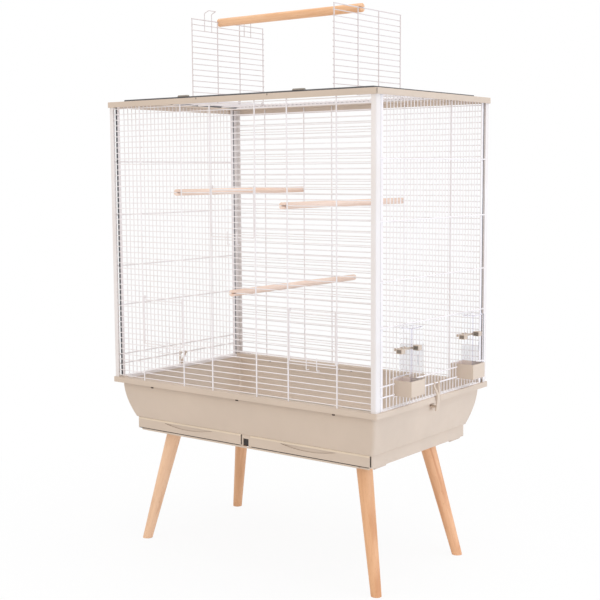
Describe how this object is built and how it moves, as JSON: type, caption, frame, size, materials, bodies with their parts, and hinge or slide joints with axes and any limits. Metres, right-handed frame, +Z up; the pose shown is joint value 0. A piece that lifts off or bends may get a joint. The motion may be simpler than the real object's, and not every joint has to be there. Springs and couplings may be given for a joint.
{
  "type": "bird cage on stand",
  "caption": "Wire bird cage on a tray with pull-out drawers and splayed wooden legs, with front doors, an opening roof, perches and outside feeders.",
  "frame": {"origin": "on the floor, below the centre of the overall box", "axes": "+X to the right along the wide front, +Y from the front to the back, +Z up"},
  "size_m": [0.812, 0.4786, 1.2915],
  "materials": {
    "beige_plastic": "fine matte beige moulding",
    "grey_plastic": "matte grey moulding",
    "dark_plastic": "dark grey moulding",
    "white_plastic": "satin off-white profile",
    "coated_wire": "off-white coated steel wire",
    "beech": "smooth light beech",
    "dark_metal": "dark coated steel",
    "plated_steel": "zinc plated",
    "clear_plastic": "clear polystyrene"
  },
  "bodies": {
    "cage_on_stand": {"tray": "beige_plastic", "base_frame": "beige_plastic", "base_pads": "beige_plastic", "roof_frame": "beige_plastic", "feeder_trough_front": "beige_plastic", "feeder_trough_back": "beige_plastic", "feeder_clip_front": "beige_plastic", "feeder_clip_back": "beige_plastic", "floor_grate_left": "grey_plastic", "floor_grate_right": "grey_plastic", "corner_seals": "dark_plastic", "roof_trim": "dark_plastic", "roof_knobs": "dark_plastic", "post_front_left": "white_plastic", "post_front_right": "white_plastic", "post_back_left": "white_plastic", "post_back_right": "white_plastic", "front_panel": "coated_wire", "back_panel": "coated_wire", "left_panel": "coated_wire", "right_panel": "coated_wire", "roof_grid": "coated_wire", "leg_front_left": "beech", "leg_front_right": "beech", "leg_back_left": "beech", "leg_back_right": "beech", "top_perch": "beech", "perch_left": "beech", "perch_right": "beech", "perch_low": "beech", "leg_mounts": "dark_metal", "hanger_bolts": "plated_steel", "mount_screws": "plated_steel"},
    "front_door_left": {"front_door_left": "coated_wire"},
    "front_door_middle": {"front_door_middle": "coated_wire"},
    "front_door_right": {"front_door_right": "coated_wire"},
    "roof_door_left": {"roof_door_left": "coated_wire", "roof_door_latches": "coated_wire"},
    "roof_door_right": {"roof_door_right": "coated_wire"},
    "drawer_left": {"drawer_left": "beige_plastic"},
    "drawer_right": {"drawer_right": "beige_plastic"},
    "side_latch_left": {"side_latch_left": "beige_plastic"},
    "side_latch_right": {"side_latch_right": "beige_plastic"},
    "feeder_tank_front": {"feeder_tank_front": "clear_plastic"},
    "feeder_tank_back": {"feeder_tank_back": "clear_plastic"}
  },
  "joints": [
    {"name": "front_door_left_swing", "type": "hinge", "parent": "cage_on_stand", "child": "front_door_left", "pos_m": [-0.2345, -0.23025, 0.6158], "axis": [-1, 0, 0], "range_deg": [0, 150]},
    {"name": "front_door_middle_swing", "type": "hinge", "parent": "cage_on_stand", "child": "front_door_middle", "pos_m": [-0.0155, -0.23025, 0.8778], "axis": [-1, 0, 0], "range_deg": [0, 150]},
    {"name": "front_door_right_swing", "type": "hinge", "parent": "cage_on_stand", "child": "front_door_right", "pos_m": [0.2035, -0.23025, 0.6158], "axis": [-1, 0, 0], "range_deg": [0, 150]},
    {"name": "roof_door_left_fold", "type": "hinge", "parent": "cage_on_stand", "child": "roof_door_left", "pos_m": [-0.2245, 0, 1.08205], "axis": [0, -1, 0], "range_deg": [0, 90]},
    {"name": "roof_door_right_fold", "type": "hinge", "parent": "cage_on_stand", "child": "roof_door_right", "pos_m": [0.1935, 0, 1.08205], "axis": [0, 1, 0], "range_deg": [0, 90]},
    {"name": "drawer_left_pull", "type": "slide", "parent": "cage_on_stand", "child": "drawer_left", "axis": [0, -1, 0], "range_m": [0, 0.3]},
    {"name": "drawer_right_pull", "type": "slide", "parent": "cage_on_stand", "child": "drawer_right", "axis": [0, -1, 0], "range_m": [0, 0.3]},
    {"name": "side_latch_left_lift", "type": "hinge", "parent": "cage_on_stand", "child": "side_latch_left", "pos_m": [-0.3979, 0.00655, 0.4438], "axis": [0, 1, 0], "range_deg": [0, 100]},
    {"name": "side_latch_right_lift", "type": "hinge", "parent": "cage_on_stand", "child": "side_latch_right", "pos_m": [0.3669, 0.00655, 0.4438], "axis": [0, -1, 0], "range_deg": [0, 100]},
    {"name": "feeder_tank_front_lift", "type": "slide", "parent": "cage_on_stand", "child": "feeder_tank_front", "axis": [0, 0, 1], "range_m": [0, 0.17]},
    {"name": "feeder_tank_back_lift", "type": "slide", "parent": "cage_on_stand", "child": "feeder_tank_back", "axis": [0, 0, 1], "range_m": [0, 0.17]}
  ]
}
